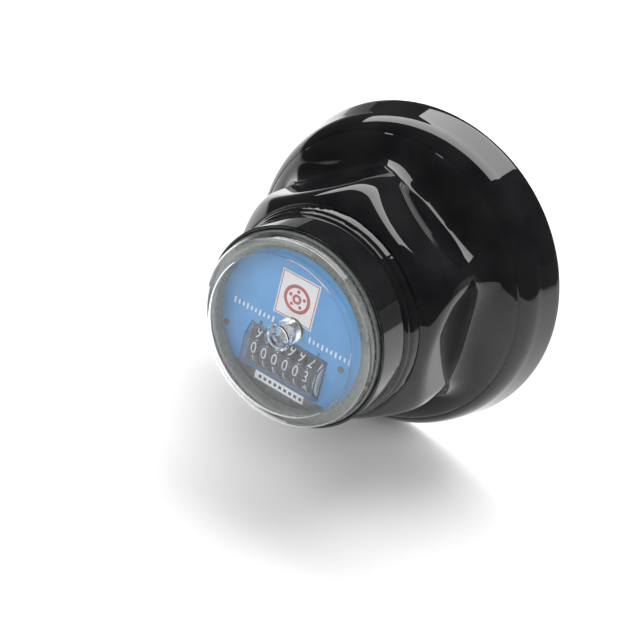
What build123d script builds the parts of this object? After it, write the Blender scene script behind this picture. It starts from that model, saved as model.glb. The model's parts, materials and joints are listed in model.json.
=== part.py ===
from build123d import *
import os
from math import acos, atan2, cos, degrees, hypot, pi, radians, sin, sqrt, tan

# Screw-on hub cap for a trailer axle with a distance recorder in its nose.
# Modelled along its own axis: x is right, y is up and z runs forward out of the nose, with z = 0 at
# the cap's open rear face. to_row() turns that into the part's frame: +Z up and the nose towards -Y.

# ---- driving dimensions, mm ----
THREAD_R = 68.0            # M136 x 2.5, major radius
THREAD_LENGTH = 12.0
RIM_R = 75.0
RIM_EDGE = 0.8
BAND_FRONT = 13.0          # end of the tapered band
BAND_FRONT_R = 72.2
CREASE_Z, CREASE_R = 22.5, 67.0
SHOULDER_Z, SHOULDER_R = 30.5, 50.0
SEAL_SEAT_Z = 14.8         # shoulder that the rubber seal rests against
SEAL_GROOVE_R = 68.7
CAVITY_R = 64.0
HEX_ACROSS_FLATS = 100.0
HEX_CORNER_FILLET = 12.0
HEX_TURN = 32.0            # angle of the first corner above +x
HEX_FRONT = 70.5
NOSE_ROUND_R = 56.6        # the hexagon's corners are rounded off towards the front
NOSE_ROUND_START = 44.0
NOSE_FRONT_R = 46.8

COLLAR_R = 43.6
COLLAR_WALL = 1.3
COLLAR_BACK = 46.0
COLLAR_FLOOR = 2.0
COLLAR_FRONT = 92.5
WELD_R = 47.2
WELD_LENGTH = 7.0

HOUSING_R = 42.2
HOUSING_WALL = 2.4
HOUSING_BACK = 48.0
HOUSING_FLOOR = 2.5
HOUSING_FRONT = 90.0
BEZEL_R = 41.8
BEZEL_FRONT = 94.2
BEZEL_INNER_R = 34.8
BEZEL_LIP_FRONT = 97.0     # the ring rises inside the lens up to here
LENS_R = 41.2
LENS_FRONT = 102.5
LENS_FACE_R = 35.0
LENS_THICK = 3.2
LENS_BORE_R = 39.4
BOSS_R = 5.8
BOSS_FRONT = 104.5
TUBE_R = 5.2                # tube behind the boss that takes the end of the axle

O_RING_Z, O_RING_R, O_RING_SECTION = 86.0, 41.35, 1.86
GASKET_OUTER_R, GASKET_INNER_R, GASKET_THICK = 40.9, 39.7, 0.8

AXLE_R = 2.5
AXLE_FRONT = 96.0
RUN = 0.05                 # radial clearance of a running fit

# gears: worm 1:25, then three 10:50 pairs, so 3125 turns of the hub turn the units wheel once
WORM_R, WORM_TEETH, WORM_MODULE = 4.2, 25, 0.64
PINION_TEETH, GEAR_TEETH, GEAR_MODULE = 10, 50, 0.4
CARRY_PINION_TEETH, CARRY_GEAR_TEETH, CARRY_MODULE = 6, 20, 0.96
GEAR_DISTANCE = (PINION_TEETH + GEAR_TEETH) * GEAR_MODULE / 2
CARRY_DISTANCE = (CARRY_PINION_TEETH + CARRY_GEAR_TEETH) * CARRY_MODULE / 2
GEAR_WIDTH, PINION_WIDTH = 1.0, 1.3
LAYER_ONE, LAYER_TWO, LAYER_THREE = 18.9, 20.7, 17.0    # x of the three gear pairs
STUD_R = 1.2
WORM_SHAFT_R = 1.2
COUNTER_SHAFT_R = 1.5
CARRY_SHAFT_R = 0.9

WHEELS = 6
WHEEL_R = 10.5
WHEEL_PITCH = 5.3
DRUM_WIDTH = 3.6
COUNTER = (-16.0, 83.5)    # height and z of the number wheels' axis
WORM_SHAFT = (-(WORM_R + WORM_TEETH * WORM_MODULE / 2), 61.0)
CARRY_ANGLE = 262.0        # where the carry pinions sit round the number wheels
THIRD_ANGLE = 195.0        # where the third stud sits round the number wheels

PLATE_FRONT = 91.0         # front face of the dial
DIAL_THICK = 0.5
FRAME_THICK = 1.5
DIAL_R = 36.4
DIAL_CHORD = -26.8         # the dial's straight lower edge
CHEEK_X = 22.2
CHEEK_THICK = 1.2
REAR_PLATE_Z = 53.5
WEIGHT_R = 38.6
WEIGHT_TOP = -32.8
WEIGHT_END_X = 17.3        # right end cut back, to balance the gears on the right
REAR_FACE = REAR_PLATE_Z + FRAME_THICK
FRAME_FACE = PLATE_FRONT - DIAL_THICK - FRAME_THICK
DIAL_RIVETS = [(-31.2, -13.0, 0.8), (25.6, -6.0, 0.8), (-14.4, -4.9, 0.5), (14.4, -4.9, 0.5)]  # x, y, r
PILLARS = [(-19.0, 6.0), (19.0, 6.0)]
WEIGHT_SCREWS = [(-10.5, -35.3), (10.5, -35.3)]
COVER_TOP, COVER_BOTTOM, COVER_HALF = -6.0, -25.6, 19.3
COVER_FACE_TOP, COVER_FACE_BOTTOM, COVER_FACE_HALF = -9.8, -23.0, 18.7
COVER_RISE, COVER_WALL = 5.2, 0.8

os.makedirs("parts", exist_ok=True)


def to_row(shape):
    return Rotation(90, 0, 0) * shape


def save(name, shape):
    moved = to_row(shape)
    moved.label = name
    export_step(moved, f"parts/{name}.step")


def turned(points):
    """A solid of revolution about z from (radius, z) points."""
    outline = Polyline(*[(r, 0, z) for r, z in points], close=True)
    return revolve(make_face(outline), Axis.Z)


def ring(outer, inner, z0, z1):
    return turned([(inner, z0), (outer, z0), (outer, z1), (inner, z1)])


def rod_z(r, z0, z1, x=0.0, y=0.0):
    return Pos(x, y, (z0 + z1) / 2) * Cylinder(r, z1 - z0)


def rod_x(r, x0, x1, place):
    """A rod along x at place = (height, z)."""
    return Pos((x0 + x1) / 2, place[0], place[1]) * Rotation(0, 90, 0) * Cylinder(r, x1 - x0)


def block(x0, x1, y0, y1, z0, z1):
    return Pos((x0 + x1) / 2, (y0 + y1) / 2, (z0 + z1) / 2) * Box(x1 - x0, y1 - y0, z1 - z0)


def around(place, distance, angle):
    return (place[0] + distance * sin(radians(angle)), place[1] + distance * cos(radians(angle)))


def involute(angle):
    return tan(angle) - angle


def gear_blank(teeth, module, width, backlash=0.10, addendum=0.85, dedendum=1.2, turn=0.0):
    """A spur gear centred on the origin along z: involute flanks above the base circle."""
    pitch_r = teeth * module / 2
    base_r = pitch_r * cos(radians(20))
    root_r = pitch_r - dedendum * module
    tip_r = pitch_r + addendum * module
    half = (pi / 2 - backlash * pi) / teeth + involute(radians(20))

    def half_angle(r):
        lean = involute(acos(base_r / r)) if r > base_r else 0.0
        return half - lean

    radii = [root_r, max(base_r, root_r + 0.1 * module), (pitch_r + tip_r) / 2, tip_r]
    points = []
    for tooth in range(teeth):
        middle = radians(turn) + 2 * pi * tooth / teeth
        flank = [(r, middle - half_angle(r)) for r in radii]
        flank += [(r, middle + half_angle(r)) for r in reversed(radii)]
        points += [(r * cos(a), r * sin(a)) for r, a in flank]
    return extrude(make_face(Polyline(*points, close=True)), width / 2, both=True)


def gear_x(gear, x, place):
    """Lays a gear onto the x direction: 0 degrees then points forward and 90 degrees up."""
    return Pos(x, place[0], place[1]) * Rotation(0, -90, 0) * gear


# ---- places of the gear train ----
CARRY_SHAFT = around(COUNTER, CARRY_DISTANCE, CARRY_ANGLE)
THIRD_STUD = around(COUNTER, GEAR_DISTANCE, THIRD_ANGLE)
mid = ((WORM_SHAFT[0] + THIRD_STUD[0]) / 2, (WORM_SHAFT[1] + THIRD_STUD[1]) / 2)
span = (THIRD_STUD[0] - WORM_SHAFT[0], THIRD_STUD[1] - WORM_SHAFT[1])
rise = sqrt(GEAR_DISTANCE**2 - hypot(*span)**2 / 4) / hypot(*span)
SECOND_STUD = (mid[0] + span[1] * rise, mid[1] - span[0] * rise)


def wheel_x(number):
    """Middle of a number wheel; number 1 is the units wheel on the right."""
    return WHEEL_PITCH * ((WHEELS + 1) / 2 - number)


def angle_between(a, b):
    """Direction from place a to place b, in degrees from forward towards up."""
    return degrees(atan2(b[0] - a[0], b[1] - a[1]))


# ---- hub cap and collar ----
def nose_envelope():
    """The turned shape that rounds off the front of the hexagon."""
    side = (NOSE_ROUND_R + 2, 0, NOSE_ROUND_START)
    front = (NOSE_FRONT_R, 0, HEX_FRONT)
    outline = Line((0, 0, 10), (NOSE_ROUND_R + 2, 0, 10))
    outline += Line((NOSE_ROUND_R + 2, 0, 10), side)
    outline += ThreePointArc(side, (NOSE_ROUND_R - 1.6, 0, 59.0), front)
    outline += Polyline(front, (0, 0, HEX_FRONT), (0, 0, 10))
    return revolve(make_face(outline), Axis.Z)


def hub_cap():
    arc_a = (BAND_FRONT_R, 0, BAND_FRONT)
    arc_b = (70.4, 0, 18.4)
    arc_c = (CREASE_R, 0, CREASE_Z)
    outline = Line((THREAD_R, 0, 0), (RIM_R - RIM_EDGE, 0, 0))
    outline += Line((RIM_R - RIM_EDGE, 0, 0), (RIM_R, 0, RIM_EDGE))
    outline += Line((RIM_R, 0, RIM_EDGE), arc_a)
    outline += ThreePointArc(arc_a, arc_b, arc_c)
    outline += ThreePointArc(arc_c, (60.5, 0, 27.6), (SHOULDER_R, 0, SHOULDER_Z))
    outline += Polyline((SHOULDER_R, 0, SHOULDER_Z), (COLLAR_R, 0, SHOULDER_Z), (THREAD_R, 0, 0))
    skirt = revolve(make_face(outline), Axis.Z)
    corner_r = HEX_ACROSS_FLATS / 2 / cos(radians(30))
    hexagon = Rotation(0, 0, HEX_TURN) * RegularPolygon(corner_r, 6)
    hexagon = fillet(hexagon.vertices(), HEX_CORNER_FILLET)
    nose = extrude(Pos(0, 0, 20) * hexagon, HEX_FRONT - 20) & nose_envelope()
    body = skirt + nose
    cavity = turned([
        (0, -1), (THREAD_R, -1), (THREAD_R, THREAD_LENGTH), (SEAL_GROOVE_R, THREAD_LENGTH),
        (SEAL_GROOVE_R, SEAL_SEAT_Z), (CAVITY_R, SEAL_SEAT_Z), (CAVITY_R, 18), (58, 22.5),
        (COLLAR_R, 26), (COLLAR_R, HEX_FRONT + 1), (0, HEX_FRONT + 1),
    ])
    return body - cavity


def collar_cup():
    inner = COLLAR_R - COLLAR_WALL
    cup = turned([
        (4.2, COLLAR_BACK), (COLLAR_R - 1, COLLAR_BACK), (COLLAR_R, COLLAR_BACK + 1),
        (COLLAR_R, COLLAR_FRONT - 0.4), (COLLAR_R - 0.4, COLLAR_FRONT), (inner + 0.3, COLLAR_FRONT),
        (inner, COLLAR_FRONT - 0.3), (inner, COLLAR_BACK + COLLAR_FLOOR), (4.2, COLLAR_BACK + COLLAR_FLOOR),
    ])
    return cup


def weld_bead():
    z0, z1 = HEX_FRONT, HEX_FRONT + WELD_LENGTH
    outline = Line((COLLAR_R, 0, z0), (WELD_R, 0, z0))
    outline += ThreePointArc((WELD_R, 0, z0), (WELD_R - 0.6, 0, z0 + 3.6), (COLLAR_R + 0.6, 0, z1))
    outline += Polyline((COLLAR_R + 0.6, 0, z1), (COLLAR_R, 0, z1), (COLLAR_R, 0, z0))
    return revolve(make_face(outline), Axis.Z)


# ---- recorder case ----
def meter_housing():
    cup = turned([
        (3.0, HOUSING_BACK), (HOUSING_R - 1, HOUSING_BACK), (HOUSING_R - 0.1, HOUSING_BACK + 1),
        (HOUSING_R - 0.1, HOUSING_FRONT), (HOUSING_R - HOUSING_WALL, HOUSING_FRONT),
        (HOUSING_R - HOUSING_WALL, HOUSING_BACK + HOUSING_FLOOR), (3.0, HOUSING_BACK + HOUSING_FLOOR),
    ])
    return cup - ring(HOUSING_R + 1, O_RING_R - 0.95, O_RING_Z - 1.2, O_RING_Z + 1.2)


def bezel_ring():
    groove_out, groove_in, groove_z = GASKET_OUTER_R, GASKET_INNER_R, BEZEL_FRONT - GASKET_THICK
    lip = turned([
        (BEZEL_INNER_R, 92.0), (BEZEL_INNER_R, BEZEL_LIP_FRONT - 0.3), (BEZEL_INNER_R + 0.3, BEZEL_LIP_FRONT),
        (BEZEL_INNER_R + 1.4, BEZEL_LIP_FRONT), (38.7, BEZEL_FRONT + 0.4), (39.0, BEZEL_FRONT),
        (groove_in, BEZEL_FRONT), (groove_in, groove_z), (groove_out, groove_z), (groove_out, BEZEL_FRONT),
        (BEZEL_R - 0.3, BEZEL_FRONT), (BEZEL_R, BEZEL_FRONT - 0.3), (BEZEL_R, HOUSING_FRONT),
        (HOUSING_R - HOUSING_WALL, HOUSING_FRONT), (HOUSING_R - HOUSING_WALL, 87.5),
        (39.0, 87.5), (39.0, 92.0),
    ])
    return lip


def lens():
    z_in = LENS_FRONT - LENS_THICK
    shell = turned([
        (0, LENS_FRONT), (LENS_FACE_R, LENS_FRONT), (LENS_R - 2.6, LENS_FRONT - 1.3),
        (LENS_R - 0.8, LENS_FRONT - 3.5), (LENS_R, LENS_FRONT - 6.0), (LENS_R, BEZEL_FRONT),
        (LENS_BORE_R, BEZEL_FRONT), (LENS_BORE_R, z_in - 2.0), (LENS_BORE_R - 3.0, z_in), (0, z_in),
    ])
    boss = turned([
        (0, LENS_FRONT), (BOSS_R, LENS_FRONT), (BOSS_R, BOSS_FRONT - 0.6), (BOSS_R - 0.6, BOSS_FRONT),
        (BOSS_R - 1.6, BOSS_FRONT), (BOSS_R - 2.2, BOSS_FRONT - 0.8), (0, BOSS_FRONT - 0.8),
    ])
    tube = ring(TUBE_R, AXLE_R + 0.1, AXLE_FRONT - 2.8, z_in) + rod_z(TUBE_R, z_in - 0.6, z_in)
    return shell + boss + tube


def axle():
    shaft = rod_z(AXLE_R, 50.5, AXLE_FRONT)
    shaft += rod_z(3.0, 46.2, 50.5)
    shaft += rod_z(5.5, 50.5, 52.0)
    shaft += rod_z(3.0, 38.0, 46.2)
    return shaft - ring(4, AXLE_R - 0.5, 92.0, 92.5)


def drive_worm():
    lead = pi * WORM_MODULE
    tip, root = WORM_R + 0.8 * WORM_MODULE, WORM_R - 1.15 * WORM_MODULE
    length = 4.5 * lead
    sunk = 0.25
    path = Helix(lead, length, root - sunk)
    section = Plane(origin=path @ 0, x_dir=(1, 0, 0), z_dir=path % 0)
    grow = tip - root + sunk
    tooth = Polygon(
        (0, -0.30 * lead), (grow, -0.10 * lead), (grow, 0.10 * lead), (0, 0.30 * lead), align=None
    )
    thread = sweep(section * tooth, path=path, is_frenet=True)
    worm = ring(root, AXLE_R, -lead / 2, length + lead / 2) + thread
    worm &= ring(tip + 1, AXLE_R, 0, length)
    return Pos(0, 0, WORM_SHAFT[1] - length / 2) * worm


# ---- pendulum: frame, weight and dial ----
def front_plate():
    plate = rod_z(DIAL_R - 0.2, PLATE_FRONT - DIAL_THICK - FRAME_THICK, PLATE_FRONT - DIAL_THICK)
    plate -= block(-40, 40, -40, DIAL_CHORD, 80, 95)
    plate -= counter_window(FRAME_FACE)
    plate -= rod_z(4.0, 80, 95)
    for x, y, size in DIAL_RIVETS:
        plate -= rod_z(size, 80, 95, x, y)
    return plate


def counter_window(z_back):
    """The opening for the number wheels in a plate whose back face is at z_back."""
    half = sqrt(WHEEL_R**2 - (COUNTER[1] - z_back)**2) + 0.35
    x = WHEELS * WHEEL_PITCH / 2 + 0.6
    return block(-x, x + 1.6, COUNTER[0] - half, COUNTER[0] + half, 80, 95)


def rear_plate():
    plate = block(-CHEEK_X - CHEEK_THICK, CHEEK_X + CHEEK_THICK, -28.5, 10, REAR_PLATE_Z, REAR_FACE)
    plate += block(-12.5, 12.5, -37.2, -28.5, REAR_PLATE_Z, REAR_FACE)
    plate -= rod_z(4.0, 40, 60)
    plate -= block(-1.8, 1.8, WORM_SHAFT[0] - 6.6, WORM_SHAFT[0] + 6.6, 50, 60)
    for x, y in WEIGHT_SCREWS:
        plate -= rod_z(1.3, 40, 60, x, y)
    return plate


def cheek(side):
    """A side plate of the frame, with holes for the shafts that cross it."""
    outline = Polyline(
        (-28.5, REAR_FACE), (-28.5, 62), (-30.6, 76), (-30.6, FRAME_FACE - 4),
        (DIAL_CHORD + 0.6, FRAME_FACE), (-3, FRAME_FACE), (-1, 80), (-1, 66), (-5, REAR_FACE),
        close=True,
    )
    flat = Plane.YZ * make_face(outline)
    plate = extrude(Pos(side * CHEEK_X, 0, 0) * flat, side * CHEEK_THICK)
    shafts = [(COUNTER, COUNTER_SHAFT_R), (CARRY_SHAFT, CARRY_SHAFT_R), (WORM_SHAFT, WORM_SHAFT_R + RUN)]
    if side > 0:
        shafts += [(SECOND_STUD, STUD_R), (THIRD_STUD, STUD_R)]
    for place, r in shafts:
        plate -= rod_x(r, -30, 30, place)
    return plate


def frame_pillars():
    return Compound([rod_z(2.0, REAR_FACE, FRAME_FACE, x, y) for x, y in PILLARS])


def bush(z_flange, direction):
    """A flanged bush; its flange lies outside the plate on the side given by direction."""
    inner = AXLE_R + RUN
    flange = sorted((z_flange, z_flange + direction * 0.9))
    body = sorted((z_flange, z_flange - direction * (FRAME_THICK + 0.9)))
    return ring(4.8, inner, *flange) + ring(4.0, inner, *body)


def pendulum_weight():
    z0, z1, z2 = REAR_FACE, FRAME_FACE - 0.6, PLATE_FRONT - 0.4
    segment = rod_z(WEIGHT_R, z0, z1) & block(-40, WEIGHT_END_X, -40, WEIGHT_TOP, z0, z1)
    lip = rod_z(WEIGHT_R, z1, z2) & block(-40, 40, -40, DIAL_CHORD - 0.2, z1, z2)
    weight = segment + lip
    for x, y in WEIGHT_SCREWS:
        weight -= rod_z(1.0, z0, z0 + 7, x, y)
    return weight


def weight_screws():
    screws = []
    for x, y in WEIGHT_SCREWS:
        shank = rod_z(1.0, REAR_PLATE_Z, REAR_FACE + 6.5, x, y)
        head = rod_z(2.0, REAR_PLATE_Z - 1.3, REAR_PLATE_Z, x, y)
        screws.append(shank + head)
    return Compound(screws)


def dial_plate():
    plate = rod_z(DIAL_R, PLATE_FRONT - DIAL_THICK, PLATE_FRONT)
    plate -= block(-40, 40, -40, DIAL_CHORD, 80, 95)
    plate -= counter_window(PLATE_FRONT - DIAL_THICK)
    plate -= rod_z(5.0, 80, 95)
    plate -= block(32.6, 40, -15.2, -13.0, 80, 95)
    for x, y, size in DIAL_RIVETS:
        plate -= rod_z(size, 80, 95, x, y)
    return plate


def dial_rivets():
    rivets = []
    for x, y, size in DIAL_RIVETS:
        shank = rod_z(size, FRAME_FACE, PLATE_FRONT, x, y)
        rivets.append(shank + rod_z(1.7 * size, PLATE_FRONT, PLATE_FRONT + 0.4, x, y))
    return Compound(rivets)


def cover_shell(inset, rise):
    base = Pos(0, 0, PLATE_FRONT) * cover_face(COVER_TOP, COVER_BOTTOM, COVER_HALF, inset)
    face = Pos(0, 0, PLATE_FRONT + rise) * cover_face(
        COVER_FACE_TOP, COVER_FACE_BOTTOM, COVER_FACE_HALF, inset
    )
    return loft([base, face])


def cover_face(top, bottom, half, inset):
    size = Rectangle(2 * (half - inset), top - bottom - 2 * inset)
    return Pos(0, (top + bottom) / 2, 0) * size


def window_cover():
    return cover_shell(0, COVER_RISE) - cover_shell(COVER_WALL, COVER_RISE - COVER_WALL)


def counter_label():
    z = PLATE_FRONT - 0.4
    return block(-12.5, 12.5, -31.0, -27.2, z, z + 0.25)


# ---- gear train ----
def cross_shaft(r, place):
    return rod_x(r, -CHEEK_X - CHEEK_THICK, CHEEK_X + CHEEK_THICK, place)


FIRST_MESH = angle_between(WORM_SHAFT, SECOND_STUD)
SECOND_MESH = angle_between(SECOND_STUD, THIRD_STUD)
THIRD_MESH = angle_between(THIRD_STUD, COUNTER)
HALF_TOOTH = 180 / GEAR_TEETH


def worm_shaft():
    shaft = cross_shaft(WORM_SHAFT_R, WORM_SHAFT)
    for side in (-1, 1):
        shaft += rod_x(2.0, *sorted((side * (CHEEK_X - 0.7), side * (CHEEK_X - 0.1))), WORM_SHAFT)
    return shaft


def worm_wheel():
    teeth = gear_blank(WORM_TEETH, WORM_MODULE, 2.6, backlash=0.14, turn=90)
    wheel = gear_x(teeth, 0, WORM_SHAFT) + rod_x(2.6, -3, 3, WORM_SHAFT)
    return wheel - rod_x(WORM_SHAFT_R, -5, 5, WORM_SHAFT)


def first_pinion():
    teeth = gear_blank(PINION_TEETH, GEAR_MODULE, PINION_WIDTH, turn=FIRST_MESH)
    return gear_x(teeth, LAYER_ONE, WORM_SHAFT) - rod_x(WORM_SHAFT_R, 15, 22, WORM_SHAFT)


def compound_gear(place, x_gear, x_pinion, gear_turn, pinion_turn):
    """A gear and a pinion in one piece that turns on a fixed stud."""
    gear = gear_x(gear_blank(GEAR_TEETH, GEAR_MODULE, GEAR_WIDTH, turn=gear_turn), x_gear, place)
    pinion = gear_x(
        gear_blank(PINION_TEETH, GEAR_MODULE, PINION_WIDTH, turn=pinion_turn), x_pinion, place
    )
    hub = rod_x(1.52, min(x_gear, x_pinion), max(x_gear, x_pinion), place)
    bore = rod_x(STUD_R + RUN, 10, 30, place)
    return gear + pinion + hub - bore


def stud(place, x0):
    """A stud fixed in the right cheek; its head holds a gear from x0 on."""
    x_head = x0 - 0.1
    return rod_x(STUD_R, x_head, CHEEK_X + CHEEK_THICK, place) + rod_x(1.7, x_head - 0.5, x_head, place)


# ---- number wheels ----
def number_wheel(number):
    x = wheel_x(number)
    wheel = rod_x(WHEEL_R, x - 2.4, x - 2.4 + DRUM_WIDTH, COUNTER)
    gear_z = x - 2.4 + DRUM_WIDTH
    if number > 1:
        turn = CARRY_ANGLE + 180 / CARRY_GEAR_TEETH
        gear = gear_blank(CARRY_GEAR_TEETH, CARRY_MODULE, 1.2, turn=turn)
        wheel += gear_x(gear, gear_z + 0.6, COUNTER)
    else:
        wheel += rod_x(3.0, gear_z, LAYER_THREE - GEAR_WIDTH / 2, COUNTER)
    return wheel - rod_x(COUNTER_SHAFT_R + RUN, x - 4, x + 6, COUNTER)


def units_gear():
    """The 50-tooth gear on the hub of the units wheel."""
    teeth = gear_blank(GEAR_TEETH, GEAR_MODULE, GEAR_WIDTH, turn=THIRD_MESH + 180 + HALF_TOOTH)
    return gear_x(teeth, LAYER_THREE, COUNTER) - rod_x(COUNTER_SHAFT_R + RUN, 14, 20, COUNTER)


def carry_x(number):
    """Middle of the pinion that carries from a wheel to the next one on its left."""
    return wheel_x(number + 1) - 2.4 + DRUM_WIDTH + 0.65


def carry_pinion(number):
    teeth = gear_blank(CARRY_PINION_TEETH, CARRY_MODULE, 1.0, backlash=0.14, turn=CARRY_ANGLE - 180)
    x = carry_x(number)
    return gear_x(teeth, x, CARRY_SHAFT) - rod_x(CARRY_SHAFT_R + RUN, x - 1, x + 1, CARRY_SHAFT)


def carry_spacers():
    """Sleeves that keep the carry pinions apart on their shaft."""
    gap = 0.5 + 2 * RUN
    edges = [-CHEEK_X] + [carry_x(n) + side * gap for n in range(WHEELS - 1, 0, -1) for side in (-1, 1)]
    edges += [CHEEK_X]
    sleeves = [rod_x(1.6, a, b, CARRY_SHAFT) for a, b in zip(edges[::2], edges[1::2])]
    bore = rod_x(CARRY_SHAFT_R, -30, 30, CARRY_SHAFT)
    return Compound([sleeve - bore for sleeve in sleeves])


def counter_spacers():
    """Collars pressed on the counter shaft at both ends of the row of number wheels."""
    left = rod_x(2.6, -CHEEK_X, wheel_x(WHEELS) - 2.5, COUNTER)
    x_right = LAYER_THREE + GEAR_WIDTH / 2 + 0.1
    right = rod_x(2.6, x_right, x_right + 1.9, COUNTER)
    bore = rod_x(COUNTER_SHAFT_R, -30, 30, COUNTER)
    return Compound([left - bore, right - bore])


def retaining_nut():
    nut = extrude(Pos(0, 0, 40.6) * RegularPolygon(6.4, 6), 4.4)
    return nut - rod_z(3.0, 35, 50)


save("hub_cap", hub_cap())
save("cap_seal_ring", ring(SEAL_GROOVE_R - 0.2, CAVITY_R + 0.6, SEAL_SEAT_Z - 2.2, SEAL_SEAT_Z))
save("collar_cup", collar_cup())
save("weld_bead", weld_bead())
save("meter_housing", meter_housing())
save("bezel_ring", bezel_ring())
save("lens", lens())
save("lens_gasket", ring(GASKET_OUTER_R, GASKET_INNER_R, BEZEL_FRONT - GASKET_THICK, BEZEL_FRONT))
save("case_o_ring", Pos(0, 0, O_RING_Z) * Torus(O_RING_R, O_RING_SECTION / 2))
save("axle", axle())
save("axle_circlip", ring(4.4, AXLE_R - 0.5, 92.0, 92.5))
save("lock_washer", ring(7.5, 3.0, 45.0, 46.0))
save("retaining_nut", retaining_nut())
save("drive_worm", drive_worm())
save("front_plate", front_plate())
save("rear_plate", rear_plate())
save("left_cheek", cheek(-1))
save("right_cheek", cheek(1))
save("frame_pillars", frame_pillars())
save("front_bush", bush(FRAME_FACE + FRAME_THICK, 1))
save("rear_bush", bush(REAR_PLATE_Z, -1))
save("pendulum_weight", pendulum_weight())
save("weight_screws", weight_screws())
save("dial_plate", dial_plate())
save("dial_rivets", dial_rivets())
save("window_cover", window_cover())
save("counter_label", counter_label())
save("counter_shaft", cross_shaft(COUNTER_SHAFT_R, COUNTER))
save("counter_spacers", counter_spacers())
save("carry_shaft", cross_shaft(CARRY_SHAFT_R, CARRY_SHAFT))
save("carry_spacers", carry_spacers())
save("second_stud", stud(SECOND_STUD, LAYER_ONE - GEAR_WIDTH / 2))
save("third_stud", stud(THIRD_STUD, LAYER_THREE - PINION_WIDTH / 2))
save("worm_shaft", worm_shaft())
save("worm_wheel", worm_wheel())
save("first_pinion", first_pinion())
save("second_gear", compound_gear(
    SECOND_STUD, LAYER_ONE, LAYER_TWO, FIRST_MESH + 180 + HALF_TOOTH, SECOND_MESH))
save("third_gear", compound_gear(
    THIRD_STUD, LAYER_TWO, LAYER_THREE, SECOND_MESH + 180 + HALF_TOOTH, THIRD_MESH))
save("units_gear", units_gear())
for number in range(1, WHEELS + 1):
    save(f"number_wheel_{number}", number_wheel(number))
for number in range(1, WHEELS):
    save(f"carry_pinion_{number}", carry_pinion(number))
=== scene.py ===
import json
from math import atan2, cos, degrees, exp, hypot, pi, radians, sin, sqrt, tau

import bmesh
import bpy
from mathutils import Matrix, Vector, noise


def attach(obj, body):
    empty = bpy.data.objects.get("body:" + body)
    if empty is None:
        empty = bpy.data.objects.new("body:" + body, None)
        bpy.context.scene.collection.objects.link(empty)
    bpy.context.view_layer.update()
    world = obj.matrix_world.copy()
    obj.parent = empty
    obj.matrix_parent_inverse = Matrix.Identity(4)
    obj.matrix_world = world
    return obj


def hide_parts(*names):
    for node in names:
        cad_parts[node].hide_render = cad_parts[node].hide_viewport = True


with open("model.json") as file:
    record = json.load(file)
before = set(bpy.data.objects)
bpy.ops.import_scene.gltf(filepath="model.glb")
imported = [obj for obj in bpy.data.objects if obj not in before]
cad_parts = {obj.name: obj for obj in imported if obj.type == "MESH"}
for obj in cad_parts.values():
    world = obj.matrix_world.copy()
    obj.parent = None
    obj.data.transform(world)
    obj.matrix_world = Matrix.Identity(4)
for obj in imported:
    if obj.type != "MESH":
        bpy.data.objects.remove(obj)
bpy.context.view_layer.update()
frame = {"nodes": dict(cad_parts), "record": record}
nodes = frame["nodes"]
MM = 0.001


def row(x, up, forward):
    """Millimetres right, up and forward on the cap's axis, as a point of the row frame."""
    return Vector((x, -forward, up)) * MM


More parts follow.
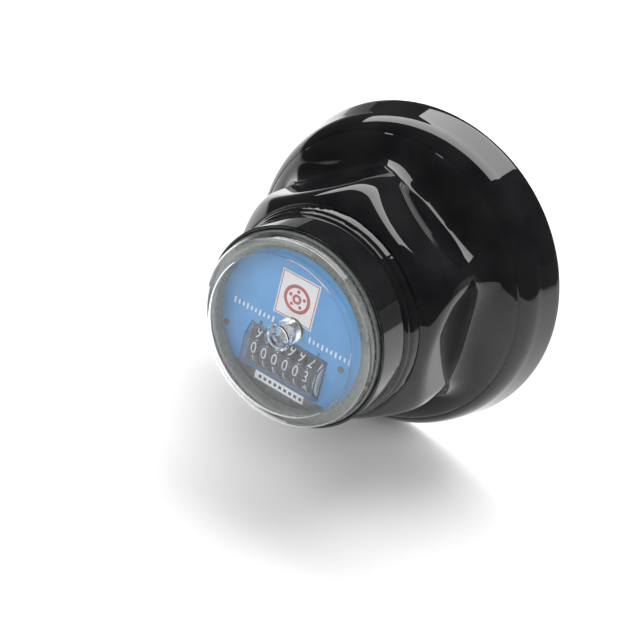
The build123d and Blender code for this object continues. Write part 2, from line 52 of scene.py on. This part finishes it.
# ---------------------------------------------------------------- materials
class Shader:
    """A node material with a Principled shader, object coordinates and a few short cuts."""

    def __init__(self, name, color, rough, metallic=0.0, **sockets):
        self.mat = bpy.data.materials.new(name)
        self.mat.use_nodes = True
        self.tree = self.mat.node_tree
        self.bsdf = self.tree.nodes["Principled BSDF"]
        self.set("Base Color", (*color, 1))
        self.set("Roughness", rough)
        self.set("Metallic", metallic)
        for name, value in sockets.items():
            self.set(name.replace("_", " ").title().replace("Ior", "IOR"), value)
        self.coords = self.node("ShaderNodeTexCoord").outputs["Object"]

    def set(self, socket, value):
        self.bsdf.inputs[socket].default_value = value

    def node(self, kind, **props):
        made = self.tree.nodes.new(kind)
        for key, value in props.items():
            setattr(made, key, value)
        return made

    def link(self, a, b):
        self.tree.links.new(a, b)

    def stretch(self, scale):
        mapping = self.node("ShaderNodeMapping")
        mapping.inputs["Scale"].default_value = scale
        self.link(self.coords, mapping.inputs["Vector"])
        return mapping.outputs["Vector"]

    def noise(self, scale, detail=3.0, rough=0.5, stretch=(1, 1, 1)):
        """Noise with about scale features per metre."""
        made = self.node("ShaderNodeTexNoise")
        made.inputs["Scale"].default_value = scale
        made.inputs["Detail"].default_value = detail
        made.inputs["Roughness"].default_value = rough
        self.link(self.stretch(stretch), made.inputs["Vector"])
        return made.outputs["Fac"]

    def ramp(self, fac, low, high, at=(0.35, 0.65)):
        """fac turned into a value or colour between low and high."""
        made = self.node("ShaderNodeValToRGB")
        made.color_ramp.elements[0].position, made.color_ramp.elements[1].position = at
        for element, value in zip(made.color_ramp.elements, (low, high)):
            element.color = (*value, 1) if isinstance(value, tuple) else (value, value, value, 1)
        self.link(fac, made.inputs["Fac"])
        return made.outputs["Color"]

    def roughness(self, fac, low, high):
        self.link(self.ramp(fac, low, high), self.bsdf.inputs["Roughness"])
        return self

    def color(self, fac, low, high, at=(0.35, 0.65)):
        self.link(self.ramp(fac, low, high, at), self.bsdf.inputs["Base Color"])
        return self

    def bump(self, fac, strength, depth):
        """Relief of that depth in metres."""
        made = self.node("ShaderNodeBump")
        made.inputs["Strength"].default_value = strength
        made.inputs["Distance"].default_value = depth
        self.link(fac, made.inputs["Height"])
        normals = self.bsdf.inputs["Normal"]
        if normals.is_linked:
            self.link(normals.links[0].from_socket, made.inputs["Normal"])
        self.link(made.outputs["Normal"], normals)
        return self

    def lets_lamps_through(self):
        """Shadow rays pass straight through, so the pieces behind clear plastic are lit."""
        out = self.tree.nodes["Material Output"]
        path = self.node("ShaderNodeLightPath")
        clear = self.node("ShaderNodeBsdfTransparent")
        mix = self.node("ShaderNodeMixShader")
        self.link(path.outputs["Is Shadow Ray"], mix.inputs["Fac"])
        self.link(self.bsdf.outputs["BSDF"], mix.inputs[1])
        self.link(clear.outputs["BSDF"], mix.inputs[2])
        self.link(mix.outputs["Shader"], out.inputs["Surface"])
        return self


def paint():
    s = Shader("black_paint", (0.006, 0.006, 0.007), 0.3, coat_weight=1.0, coat_roughness=0.025)
    s.set("Specular IOR Level", 0.0)
    s.color(s.noise(60, 4), (0.005, 0.005, 0.006), (0.011, 0.011, 0.012))
    s.roughness(s.noise(900, 4), 0.12, 0.22)
    return s.bump(s.noise(260, 2), 0.10, 0.0003).bump(s.noise(3000, 2), 0.04, 0.00005)


def rubber():
    s = Shader("black_rubber", (0.02, 0.02, 0.02), 0.7)
    s.color(s.noise(500), (0.016, 0.016, 0.016), (0.03, 0.03, 0.03))
    return s.bump(s.noise(2500), 0.3, 0.00008)


def zinc():
    s = Shader("cast_zinc", (0.17, 0.18, 0.17), 0.5, metallic=0.45)
    s.color(s.noise(700, 5, 0.6), (0.12, 0.13, 0.12), (0.21, 0.22, 0.205))
    s.roughness(s.noise(1500, 4), 0.40, 0.58)
    return s.bump(s.noise(2200, 4), 0.35, 0.00006).bump(s.noise(500, 2), 0.2, 0.0001)


def steel():
    s = Shader("machined_steel", (0.55, 0.55, 0.56), 0.25, metallic=1.0)
    s.color(s.noise(900, 3), (0.48, 0.48, 0.49), (0.62, 0.62, 0.63))
    return s.bump(s.noise(600, 2, stretch=(1, 12, 1)), 0.15, 0.00003)


def brass():
    s = Shader("machined_brass", (0.72, 0.52, 0.22), 0.24, metallic=1.0)
    s.color(s.noise(600, 3), (0.62, 0.43, 0.17), (0.78, 0.58, 0.27))
    return s.bump(s.noise(1800, 3), 0.15, 0.00003)


def sheet_metal():
    s = Shader("plated_sheet", (0.56, 0.57, 0.58), 0.3, metallic=1.0)
    s.color(s.noise(300, 3), (0.50, 0.51, 0.53), (0.62, 0.63, 0.64))
    return s.bump(s.noise(500, 3, stretch=(14, 1, 1)), 0.2, 0.00003)


def weight_metal():
    s = Shader("cast_weight", (0.19, 0.195, 0.20), 0.5, metallic=0.55)
    s.color(s.noise(900, 5, 0.6), (0.14, 0.145, 0.15), (0.24, 0.245, 0.25))
    return s.bump(s.noise(2000, 4), 0.5, 0.0001)


def dial_blue():
    s = Shader("dial_blue", (0.085, 0.30, 0.60), 0.42, specular_ior_level=0.4)
    s.color(s.noise(90, 3), (0.075, 0.28, 0.57), (0.10, 0.325, 0.63))
    return s.bump(s.noise(4000, 2), 0.12, 0.00003)


def print_ink(name, color):
    s = Shader(name, color, 0.45)
    dark = tuple(c * 0.93 for c in color)
    s.color(s.noise(1200, 3), dark, color)
    return s.bump(s.noise(5000, 2), 0.1, 0.00002)


def plastic(name, color, rough=0.4):
    s = Shader(name, color, rough)
    s.color(s.noise(700, 3), tuple(c * 0.85 for c in color), color)
    s.roughness(s.noise(1800, 3), rough - 0.06, rough + 0.08)
    return s.bump(s.noise(3500, 2), 0.12, 0.00004)


def clear(name, color, rough, relief):
    s = Shader(name, color, rough, transmission_weight=1.0, ior=1.49)
    s.roughness(s.noise(60, 2), rough, rough + 0.006)
    return s.bump(s.noise(90, 2), 0.05, relief).lets_lamps_through()


SLOTS = {
    "black_paint": paint(),
    "rubber": rubber(),
    "grey_rubber": plastic("grey_gasket", (0.33, 0.35, 0.36), 0.5),
    "zinc": zinc(),
    "clear_plastic": clear("clear_lens", (0.97, 0.985, 1.0), 0.0, 0.0001),
    "window_plastic": clear("clear_window", (0.70, 0.74, 0.79), 0.0, 0.0001),
    "steel": steel(),
    "brass": brass(),
    "frame_metal": sheet_metal(),
    "weight_metal": weight_metal(),
    "dial_blue": dial_blue(),
    "white_label": print_ink("label_white", (0.78, 0.79, 0.79)),
    "digit_black": plastic("wheel_plastic", (0.014, 0.0145, 0.016), 0.55),
    "gear_plastic": plastic("gear_plastic", (0.72, 0.72, 0.68)),
}
for part in frame["record"]["subparts"]:
    node = nodes[part["node"]]
    node.data.materials.clear()
    node.data.materials.append(SLOTS[part["material_slot"]].mat)
nodes["dial_rivets"].data.materials[0] = zinc().mat


# ---------------------------------------------------------------- mesh helpers
def new_piece(name, verts, faces, body, slot, material=None, smooth=True):
    """A mesh from points in the row frame that rides on a CAD body."""
    mesh = bpy.data.meshes.new(name)
    mesh.from_pydata(verts, [], faces)
    mesh.validate()
    mesh.update()
    obj = bpy.data.objects.new(name, mesh)
    bpy.context.scene.collection.objects.link(obj)
    work = bmesh.new()
    work.from_mesh(mesh)
    bmesh.ops.recalc_face_normals(work, faces=work.faces)
    work.to_mesh(mesh)
    work.free()
    if smooth:
        mesh.shade_smooth()
        mesh.set_sharp_from_angle(angle=radians(40))
    mesh.materials.append((material or SLOTS[slot]).mat)
    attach(obj, body)
    return obj


def lathe(outline, steps):
    """Vertices and faces of a closed outline turned round the axis.

    outline(angle) gives the same number of (radius, forward) points at each angle."""
    verts, faces = [], []
    for i in range(steps):
        angle = tau * i / steps
        points = outline(angle)
        count = len(points)
        verts += [row(r * cos(angle), r * sin(angle), z) for r, z in points]
    for i in range(steps):
        a, b = i * count, (i + 1) % steps * count
        for k in range(count):
            n = (k + 1) % count
            faces.append((a + k, a + n, b + n, b + k))
    return verts, faces


def arc(centre, radius, start, end, count):
    """Points on an arc in the (radius, forward) plane, angles in degrees."""
    turn = [radians(start + (end - start) * i / count) for i in range(count + 1)]
    return [(centre[0] + radius * cos(a), centre[1] + radius * sin(a)) for a in turn]


def line(a, b, count):
    return [(a[0] + (b[0] - a[0]) * i / count, a[1] + (b[1] - a[1]) * i / count) for i in range(count + 1)]


def circle_through(a, b, c):
    """Centre and radius of the circle through three points."""
    d = 2 * (a[0] * (b[1] - c[1]) + b[0] * (c[1] - a[1]) + c[0] * (a[1] - b[1]))
    sq = [p[0] ** 2 + p[1] ** 2 for p in (a, b, c)]
    x = (sq[0] * (b[1] - c[1]) + sq[1] * (c[1] - a[1]) + sq[2] * (a[1] - b[1])) / d
    y = (sq[0] * (c[0] - b[0]) + sq[1] * (a[0] - c[0]) + sq[2] * (b[0] - a[0])) / d
    return (x, y), hypot(a[0] - x, a[1] - y)


def direction(centre, point):
    return degrees(atan2(point[1] - centre[1], point[0] - centre[0]))


# ---------------------------------------------------------------- hub cap
BAND_END, CREASE, SHOULDER = (72.2, 13.0), (67.0, 22.5), (50.0, 30.5)
BAND_CIRCLE = circle_through(BAND_END, (70.4, 18.4), CREASE)
SHOULDER_CIRCLE = circle_through(CREASE, (60.5, 27.6), SHOULDER)
HEX_CORNER, HEX_FLAT, HEX_FRONT, HEX_ROUNDING = 32.0, 50.0, 70.5, 12.0
COLLAR_R = 43.6
THREAD_R, THREAD_LENGTH, THREAD_PITCH, THREAD_DEPTH = 68.0, 12.0, 2.5, 1.35


def hexagon_radius(angle):
    """Radius of the rounded hexagon in that direction."""
    off = (degrees(angle) - HEX_CORNER + 30) % 60 - 30
    centre = (HEX_FLAT - HEX_ROUNDING) / cos(radians(30))
    tangent = degrees(atan2(HEX_ROUNDING * 0.5, centre + HEX_ROUNDING * cos(radians(30))))
    if abs(off) < tangent:
        s, c = sin(radians(off)), cos(radians(off))
        return centre * c + sqrt(HEX_ROUNDING**2 - (centre * s) ** 2)
    return HEX_FLAT / cos(radians(30 - abs(off)))


def rounded(a, corner, b, count=5):
    """A short curve from a to b that is pulled towards a corner."""
    points = []
    for i in range(count + 1):
        t = i / count
        weights = ((1 - t) ** 2, 2 * t * (1 - t), t * t)
        points.append(tuple(sum(w * v for w, v in zip(weights, trio)) for trio in zip(a, corner, b)))
    return points


ROUND_SIDE, ROUND_FRONT = (58.6, 44.0), (46.8, 70.5)
ROUND_CIRCLE = circle_through(ROUND_SIDE, (55.0, 59.0), ROUND_FRONT)


def rounded_off(wall, z):
    """The wall's radius at z, blended into the turned shape that rounds the nose's front."""
    (cx, cz), radius = ROUND_CIRCLE
    limit = cx + sqrt(max(0.0, radius**2 - (z - cz) ** 2)) if z > ROUND_SIDE[1] else 80.0
    soft = 2.6
    overlap = max(0.0, soft - abs(wall - limit)) / soft
    return min(wall, limit) - overlap**2 * soft / 4


def thread_profile(angle):
    """The wall of the thread at that angle: a ridge that climbs one pitch per turn."""
    wall = []
    rows = 60
    for i in range(rows + 1):
        z = THREAD_LENGTH - THREAD_LENGTH * i / rows
        phase = (z / THREAD_PITCH - angle / tau) % 1.0
        ridge = max(0.0, min(1.0, 2.2 - abs(phase - 0.5) * 5.2))
        fade = min(1.0, z / 1.6)
        wall.append((THREAD_R - THREAD_DEPTH * ridge * fade, z))
    return wall


def cap_outline(angle):
    """Outside of the cap from the rim to the nose, then back through its hollow."""
    wall = hexagon_radius(angle)
    corner = max(0.0, min(1.0, (wall - HEX_FLAT) / 5.8))
    blend = 6.0 + 9.0 * corner * corner * (3 - 2 * corner)
    (bx, bz), br = BAND_CIRCLE
    (sx, sz), sr = SHOULDER_CIRCLE
    outer = arc((74.0, 1.0), 1.0, -90, 3, 6)
    outer += line((75.0, 1.6), BAND_END, 6)
    band = arc((bx, bz), br, direction((bx, bz), BAND_END), direction((bx, bz), CREASE), 12)
    fillet_z = sz + sqrt((sr + blend) ** 2 - (wall + blend - sx) ** 2)
    centre = (wall + blend, fillet_z)
    lean = direction((sx, sz), centre)
    shoulder = arc((sx, sz), sr, direction((sx, sz), CREASE), lean, 14)
    outer += band[1:]
    outer += rounded((CREASE[0] + 0.55, CREASE[1] - 0.75), CREASE, (CREASE[0] - 0.85, CREASE[1] + 0.45), 5)
    outer += shoulder[2:]
    outer += arc(centre, blend, lean + 180, 180, 9)[1:]
    levels = [fillet_z + (56.0 - fillet_z) * i / 6 for i in range(1, 7)]
    levels += [56.0 + 14.5 * sin(pi / 2 * i / 18) for i in range(1, 19)]
    outer += [(rounded_off(wall, z), min(z, HEX_FRONT)) for z in levels]
    outer += [(45.6, HEX_FRONT), (COLLAR_R, HEX_FRONT)]
    inner = [(COLLAR_R, 60), (COLLAR_R, 45), (COLLAR_R, 27.0), (44.3, 26.2), (58, 22.5)]
    inner += [(63.4, 18.6), (64, 18), (64, 14.8)]
    inner += [(68.7, 14.8), (68.7, 12.6), (THREAD_R, 12.2)]
    return outer + inner + thread_profile(angle)


verts, faces = lathe(cap_outline, 720)
cap = new_piece("cap_shell", verts, faces, "cap", "black_paint")
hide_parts("hub_cap")


# ---------------------------------------------------------------- weld between hexagon and collar
def bead_outline(angle):
    wave = noise.noise(Vector((cos(angle) * 2.2, sin(angle) * 2.2, 0.3)))
    slow = noise.noise(Vector((cos(angle) * 5.0, sin(angle) * 5.0, 4.0)))
    fine = noise.noise(Vector((cos(angle) * 22.0, sin(angle) * 22.0, 8.0)))
    height = 2.5 + 0.45 * wave + 0.35 * slow + 0.12 * fine
    points = []
    for i in range(19):
        t = i / 18
        sag = 0.55 * exp(-((t - 0.62 - 0.08 * slow) / 0.09) ** 2)
        r = 43.7 + height * (1 - t) ** 0.75 * (1 + 0.35 * t) - sag
        points.append((max(43.66, r), 70.45 + 6.6 * t * (1 + 0.05 * wave)))
    return points + [(43.62, 77.2), (43.62, 70.45)]


verts, faces = lathe(bead_outline, 720)
bead = new_piece("weld_ripples", verts, faces, "cap", "black_paint")
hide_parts("weld_bead")


# ---------------------------------------------------------------- lens and its ring
def lens_outline(_):
    points = [(0.001, 103.7), (2.0, 103.7), (2.3, 103.55), (2.6, 103.7), (3.5, 103.7)]
    points += rounded((3.6, 103.7), (4.0, 103.75), (4.2, 104.3), 3)
    points += rounded((4.35, 104.48), (4.8, 104.5), (5.3, 104.45), 3)
    points += rounded((5.5, 104.35), (5.78, 104.2), (5.8, 103.7), 3)
    points += [(5.8, 103.0)]
    points += rounded((5.8, 102.9), (5.85, 102.5), (6.4, 102.5), 3)
    points += [(20, 102.5), (34.0, 102.5), (34.3, 102.45), (34.6, 102.2), (34.9, 102.4)]
    points += rounded((35.0, 102.45), (35.5, 102.45), (36.0, 102.3), 4)
    points += rounded((37.2, 102.0), (41.15, 100.4), (41.18, 95.8), 10)
    points += [(41.15, 94.2), (39.4, 94.2), (39.4, 96.9)]
    points += rounded((39.4, 97.2), (39.2, 98.4), (37.2, 99.1), 6)
    points += [(36.2, 99.3), (20, 99.3)]
    points += [(5.6, 99.3), (5.2, 98.9), (5.2, 93.2), (2.6, 93.2), (2.6, 98.7), (0.001, 98.7)]
    return points


verts, faces = lathe(lens_outline, 192)
lens = new_piece("lens_moulding", verts, faces, "cap", "clear_plastic")
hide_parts("lens")


# ---------------------------------------------------------------- prints on the dial
def plate_piece(name, outlines, z0, z1, material, body="pendulum"):
    """Flat printed areas: each outline is a list of (right, up) points or a pair (outer, hole)."""
    work = bmesh.new()
    for outline in outlines:
        rings = outline if isinstance(outline[0][0], tuple) else (outline,)
        loops = []
        for ring in rings:
            corners = [work.verts.new(row(x, y, z1)) for x, y in ring]
            loops.append([work.edges.new((corners[i - 1], corners[i])) for i in range(len(corners))])
        bmesh.ops.triangle_fill(work, edges=[e for loop in loops for e in loop], use_beauty=True)
    top = work.faces[:]
    made = bmesh.ops.extrude_face_region(work, geom=top)["geom"]
    for vert in (g for g in made if isinstance(g, bmesh.types.BMVert)):
        vert.co.y = -z0 * MM
    bmesh.ops.recalc_face_normals(work, faces=work.faces)
    mesh = bpy.data.meshes.new(name)
    work.to_mesh(mesh)
    work.free()
    obj = bpy.data.objects.new(name, mesh)
    bpy.context.scene.collection.objects.link(obj)
    mesh.materials.append(material.mat)
    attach(obj, body)
    return obj


def rectangle(x0, x1, y0, y1):
    return [(x0, y0), (x1, y0), (x1, y1), (x0, y1)]


def disc(x, y, r, count=48):
    return [(x + r * cos(tau * i / count), y + r * sin(tau * i / count)) for i in range(count)]


white_ink = print_ink("ink_white", (0.74, 0.75, 0.76))
red_ink = print_ink("ink_red", (0.42, 0.06, 0.05))
px, py = -1.3, 13.3    # middle of the white panel
plate_piece("panel_white", [rectangle(px - 9.4, px + 9.4, py - 10.5, py + 10.5)], 91.0, 91.05, white_ink)
frame_lines = tuple(rectangle(px - w, px + w, py - w - 1.1, py + w + 1.1) for w in (8.9, 8.5))
wheel_print = [
    (disc(px, py, 6.4), disc(px, py, 4.9)),
    (disc(px, py, 2.2, 24), disc(px, py, 1.0, 24)),
]
for i in range(5):
    a = tau * i / 5 + pi / 2
    wheel_print.append(disc(px + 3.55 * cos(a), py + 3.55 * sin(a), 0.8, 20))
plate_piece("panel_print", [frame_lines] + wheel_print, 91.05, 91.09, red_ink)

marks = []
for start in (-29.5, 8.6):
    for i in range(10):
        x = start + 2.2 * i
        tall = 2.7 if i % 3 == 0 else 1.9
        marks.append(rectangle(x - 0.4, x + 0.4, -1.0 - tall / 2, -1.0 + tall / 2))
plate_piece("dial_marks", marks, 91.0, 91.04, white_ink)

label_rows = [rectangle(-10.5 + 2.6 * i, -9.0 + 2.6 * i, -29.9, -28.4) for i in range(9)]
grey_ink = print_ink("ink_grey", (0.09, 0.09, 0.10))
plate_piece("label_print", label_rows, 90.85, 90.88, grey_ink)

mask_print = plastic("window_mask", (0.05, 0.052, 0.056))
mask_area = (rectangle(-18.4, 18.4, -24.7, -6.9), rectangle(-16.4, 18.05, -24.1, -7.9))
plate_piece("window_mask", [mask_area], 91.0, 91.06, mask_print)


# ---------------------------------------------------------------- digits
COUNTER_UP, COUNTER_FORWARD, WHEEL_R, WHEEL_PITCH = -16.0, 83.5, 10.5, 5.3
INK = 0.03    # thickness of the printed digits
digit_ink = print_ink("ink_digit", (0.86, 0.87, 0.87))


def digit_mesh(text, width, height):
    """A digit as a sliced flat bmesh in millimetres, centred on the origin."""
    curve = bpy.data.curves.new("digit", "FONT")
    curve.body = text
    curve.extrude = 0.0
    carrier = bpy.data.objects.new("digit", curve)
    bpy.context.scene.collection.objects.link(carrier)
    bpy.context.view_layer.update()
    mesh = bpy.data.meshes.new_from_object(carrier)
    bpy.data.objects.remove(carrier)
    bpy.data.curves.remove(curve)
    work = bmesh.new()
    work.from_mesh(mesh)
    bpy.data.meshes.remove(mesh)
    xs = [v.co.x for v in work.verts]
    ys = [v.co.y for v in work.verts]
    for v in work.verts:
        v.co.x = (v.co.x - (min(xs) + max(xs)) / 2) / 0.5 * width
        v.co.y = (v.co.y - (min(ys) + max(ys)) / 2) / (max(ys) - min(ys)) * height
    for i in range(1, 12):
        geom = work.verts[:] + work.edges[:] + work.faces[:]
        level = -height / 2 + height * i / 12
        bmesh.ops.bisect_plane(work, geom=geom, plane_co=(0, level, 0), plane_no=(0, 1, 0))
    return work


flat_digits = [digit_mesh(str(d), 2.9, 5.2) for d in range(10)]


def wheel_digits(number, shown):
    """The ten digits printed round a number wheel; the next higher one stands below."""
    middle = WHEEL_PITCH * (3.5 - number) - 0.6
    verts, faces = [], []
    for digit, flat in enumerate(flat_digits):
        base = len(verts)
        flat.verts.index_update()
        for v in flat.verts:
            a = v.co.y / WHEEL_R - radians(36) * (digit - shown) + radians(4)
            r = WHEEL_R + INK
            verts.append(row(middle + v.co.x, COUNTER_UP + r * sin(a), COUNTER_FORWARD + r * cos(a)))
        faces += [tuple(base + v.index for v in f.verts) for f in flat.faces]
    new_piece(f"digits_{number}", verts, faces, f"wheel_{number}", "digit_black", digit_ink, smooth=False)


for number in range(1, 7):
    wheel_digits(number, 3 if number == 1 else 0)
for flat in flat_digits:
    flat.free()


# ---------------------------------------------------------------- floor, light and camera
floor_mat = Shader("pale_floor", (0.86, 0.86, 0.86), 0.6)
floor_mat.color(floor_mat.noise(3, 2), (0.85, 0.85, 0.85), (0.88, 0.88, 0.88))
FLOOR = -0.0752
FLOOR_HALF, COVE_START, COVE_R = 6.0, 2.0, 1.1
profile = [(-FLOOR_HALF, FLOOR), (COVE_START, FLOOR)]
for a in range(5, 90, 5):
    profile.append((COVE_START + COVE_R * sin(radians(a)), FLOOR + COVE_R * (1 - cos(radians(a)))))
verts = [(side * FLOOR_HALF, y, z) for y, z in profile for side in (-1, 1)]
faces = [(2 * i, 2 * i + 1, 2 * i + 3, 2 * i + 2) for i in range(len(profile) - 1)]
mesh = bpy.data.meshes.new("floor")
mesh.from_pydata(verts, [], faces)
mesh.shade_smooth()
mesh.materials.append(floor_mat.mat)
floor = bpy.data.objects.new("floor", mesh)
bpy.context.scene.collection.objects.link(floor)


def softbox(name, place, aim, size, power, seen=True):
    """A rectangular lamp; one that is not seen lights without showing in the paint."""
    lamp = bpy.data.lights.new(name, "AREA")
    lamp.shape = "RECTANGLE"
    lamp.size, lamp.size_y = size
    lamp.energy = power
    obj = bpy.data.objects.new(name, lamp)
    bpy.context.scene.collection.objects.link(obj)
    obj.location = place
    obj.rotation_mode = "QUATERNION"
    obj.rotation_quaternion = (Vector(aim) - Vector(place)).to_track_quat("-Z", "Y")
    obj.visible_glossy = seen


softbox("top_box", (-0.95, 0.8, 1.5), (-0.95, 0.8, 0.0), (3.1, 1.2), 58)
softbox("left_fill", (-1.6, -1.2, 1.2), (0, 0, 0), (2.0, 2.0), 30, seen=False)
softbox("right_fill", (1.6, -0.6, 1.0), (0, 0, 0), (2.0, 2.0), 30, seen=False)
softbox("back_fill", (0.3, 1.8, 0.9), (0, 0, 0), (2.4, 1.6), 30, seen=False)

world = bpy.data.worlds.new("studio")
world.use_nodes = True
world.node_tree.nodes["Background"].inputs["Color"].default_value = (1, 1, 1, 1)
world.node_tree.nodes["Background"].inputs["Strength"].default_value = 0.07
bpy.context.scene.world = world
bpy.context.scene.view_settings.view_transform = "Standard"

RIGHT = Vector((0.802, 0.557, 0.215))
AHEAD = Vector((-0.398, 0.767, -0.503))
ORIGIN_SEEN = (0.0404, -0.0258, 0.6798)
camera_data = bpy.data.cameras.new("camera")
camera_data.sensor_width = 36.0
camera_data.lens = 84.375
camera_data.clip_start = 0.05
camera = bpy.data.objects.new("camera", camera_data)
bpy.context.scene.collection.objects.link(camera)
AHEAD.normalize()
RIGHT = (RIGHT - AHEAD * RIGHT.dot(AHEAD)).normalized()
DOWN = AHEAD.cross(RIGHT)
spot = -(RIGHT * ORIGIN_SEEN[0] + DOWN * ORIGIN_SEEN[1] + AHEAD * ORIGIN_SEEN[2])
turn = Matrix((RIGHT, -DOWN, -AHEAD)).transposed().to_4x4()
camera.matrix_world = Matrix.Translation(spot) @ turn
bpy.context.scene.camera = camera
